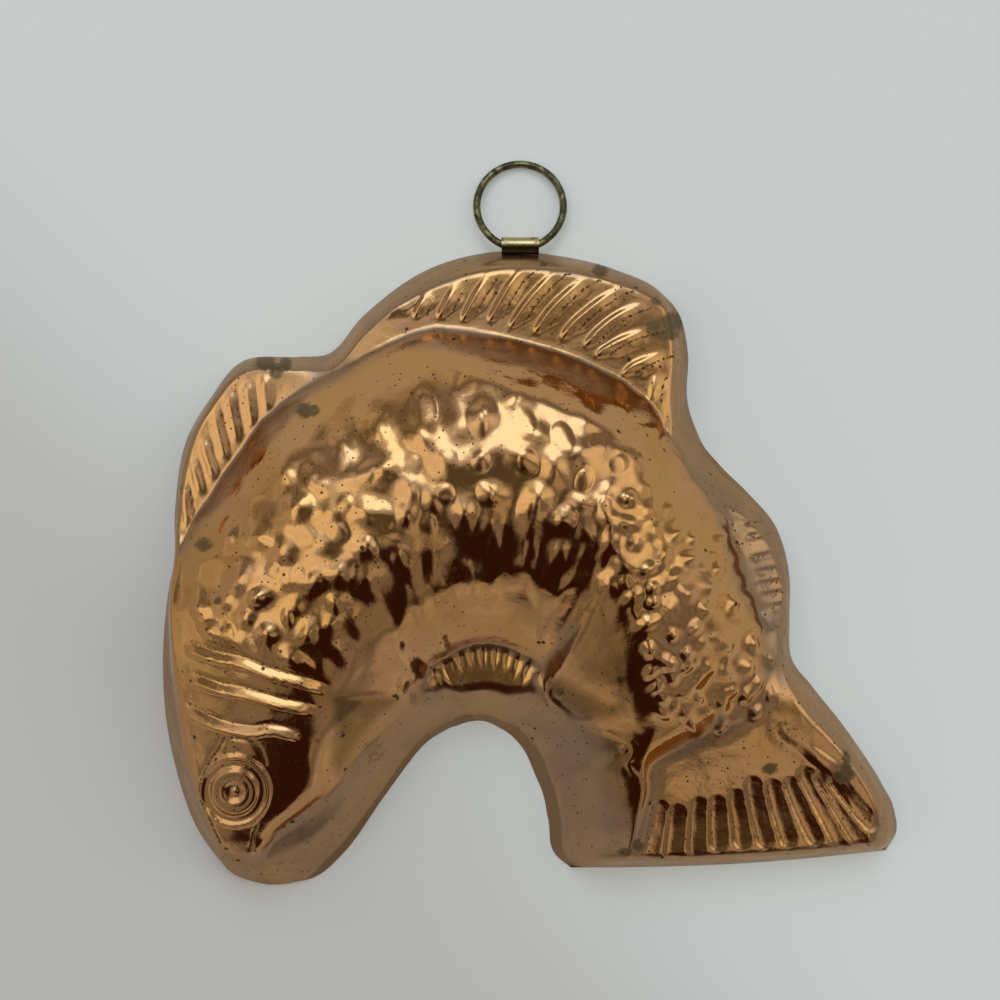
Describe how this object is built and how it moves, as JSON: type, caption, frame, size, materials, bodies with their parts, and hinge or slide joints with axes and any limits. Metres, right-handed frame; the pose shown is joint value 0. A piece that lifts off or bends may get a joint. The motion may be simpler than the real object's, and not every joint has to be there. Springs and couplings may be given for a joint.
{
  "type": "fish mould",
  "caption": "Pressed sheet mould in the shape of a curved fish, open underneath, with a swinging wire ring in a strap at its top edge.",
  "frame": {"origin": "on the table, under the middle of the bounding box of the whole mould with its ring laid outwards", "axes": "+Z out of the pressed face, away from the table; +Y towards the dorsal fin and the hanging ring; +X towards the tail"},
  "size_m": [0.2786, 0.2748, 0.0592],
  "materials": {
    "copper_sheet": "polished copper outside with small dark specks and a few olive-brown tarnish spots; tinned grey inside",
    "strap_brass": "rubbed brass sheet",
    "ring_brass": "tarnished brass wire"
  },
  "bodies": {
    "mould": {"mould_shell": "copper_sheet", "ring_strap": "strap_brass"},
    "ring": {"hanging_ring": "ring_brass"}
  },
  "joints": [
    {"name": "ring_swing", "type": "hinge", "parent": "mould", "child": "ring", "pos_m": [-0.00365, 0.10428, 0.005], "axis": [1, 0, 0], "range_deg": [-65, 108]}
  ]
}
